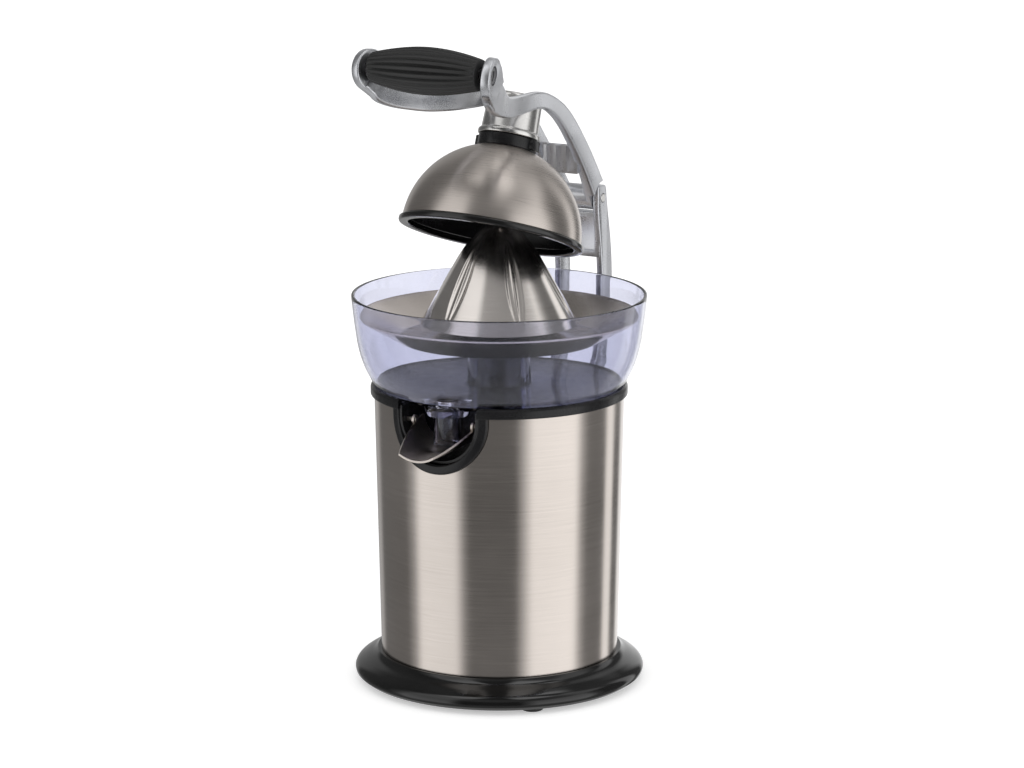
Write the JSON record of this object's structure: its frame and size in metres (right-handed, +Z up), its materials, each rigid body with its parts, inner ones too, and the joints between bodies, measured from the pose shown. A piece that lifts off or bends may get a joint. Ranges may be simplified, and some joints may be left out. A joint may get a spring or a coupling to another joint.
{
  "type": "citrus press juicer",
  "caption": "Electric lever citrus press: hinged dome on a column over a ribbed reamer cone, clear bowl with strainer, flip-up spout, steel-sleeved motor base.",
  "frame": {"origin": "bottom centre of the bounding box, on the worktop; the cone's axis stands 7.5 mm ahead of it, at Y = -0.0075", "axes": "+Z up; -Y towards the spout and the grip, +Y towards the column; +X to the right of a person facing +Y"},
  "size_m": [0.182, 0.213, 0.4041],
  "materials": {
    "brushed_steel": "brushed stainless steel, satin",
    "cast_aluminium": "satin die-cast aluminium",
    "bright_steel": "bright machined steel",
    "gloss_black": "high-gloss moulded plastic",
    "satin_black": "satin moulded plastic",
    "black_rubber": "matt soft-touch rubber",
    "clear_plastic": "clear plastic with a faint blue tint",
    "nylon": "natural nylon",
    "bronze": "sintered bronze and copper windings",
    "grey_plastic": "dark grey moulded plastic",
    "motor_iron": "laminated iron"
  },
  "bodies": {
    "housing": {"base_ring": "gloss_black", "base_plate": "satin_black", "foot_front_right": "black_rubber", "foot_rear_right": "black_rubber", "foot_rear_left": "black_rubber", "foot_front_left": "black_rubber", "base_screw_right": "bright_steel", "base_screw_rear": "bright_steel", "base_screw_left": "bright_steel", "base_screw_front": "bright_steel", "body_sleeve": "brushed_steel", "top_trim": "satin_black", "deck": "satin_black", "spout_housing": "satin_black", "cord_gland": "satin_black", "gearbox_case": "grey_plastic", "gearbox_cover": "grey_plastic", "lower_bush": "bronze", "upper_bush": "bronze", "shaft_seal": "black_rubber", "idler_axle": "bright_steel", "micro_switch": "satin_black", "motor_stator": "motor_iron", "motor_lower_bracket": "bright_steel", "motor_upper_bracket": "bright_steel", "bowl": "clear_plastic", "bowl_nozzle": "clear_plastic", "strainer": "brushed_steel", "column": "cast_aluminium", "column_screw_1": "bright_steel", "column_screw_2": "bright_steel", "pivot_pin": "bright_steel"},
    "lever": {"lever_arm": "cast_aluminium", "ear_screw_right": "bright_steel", "ear_screw_left": "bright_steel", "grip": "black_rubber", "grip_rod": "bright_steel", "dome_shell": "brushed_steel", "dome_liner": "satin_black", "dome_bead": "satin_black", "dome_collar": "satin_black", "dome_screw": "bright_steel"},
    "spout": {"spout_scoop": "brushed_steel"},
    "press_carrier": {"thrust_collar": "nylon", "return_spring": "bright_steel"},
    "cone_drive": {"output_shaft": "bright_steel", "output_gear": "nylon", "cone_shell": "brushed_steel", "cone_hub": "satin_black"},
    "idler": {"idler_gear": "nylon"},
    "rotor": {"motor_pinion": "bright_steel", "motor_shaft": "bright_steel", "motor_armature": "bronze", "cooling_fan": "grey_plastic"},
    "plunger": {"switch_plunger": "nylon"}
  },
  "joints": [
    {"name": "lever_hinge", "type": "hinge", "parent": "housing", "child": "lever", "pos_m": [0, 0.0935, 0.2895], "axis": [-1, 0, 0], "range_deg": [-20.5, 45]},
    {"name": "spout_hinge", "type": "hinge", "parent": "housing", "child": "spout", "pos_m": [0, -0.0735, 0.1745], "axis": [-1, 0, 0], "range_deg": [0, 28]},
    {"name": "press_slide", "type": "slide", "parent": "housing", "child": "press_carrier", "axis": [0, 0, -1], "range_m": [0, 0.0025], "stiffness_N_per_m": 3000, "springref_m": -0.004, "deforming": ["return_spring"]},
    {"name": "cone_spin", "type": "hinge", "parent": "press_carrier", "child": "cone_drive", "pos_m": [0, -0.0075, 0.2], "axis": [0, 0, 1], "continuous": true},
    {"name": "idler_spin", "type": "hinge", "parent": "housing", "child": "idler", "pos_m": [0, 0.02962, 0.11], "axis": [0, 0, 1], "continuous": true},
    {"name": "rotor_spin", "type": "hinge", "parent": "housing", "child": "rotor", "pos_m": [-0.02201, 0.01841, 0.06], "axis": [0, 0, 1], "continuous": true},
    {"name": "plunger_slide", "type": "slide", "parent": "housing", "child": "plunger", "axis": [0, 0, -1], "range_m": [0, 0.0025]}
  ],
  "couplings": [
    {"joint": "idler_spin", "follows": "cone_spin", "ratio": -4},
    {"joint": "rotor_spin", "follows": "cone_spin", "ratio": 15},
    {"joint": "plunger_slide", "follows": "press_slide", "ratio": 1}
  ]
}
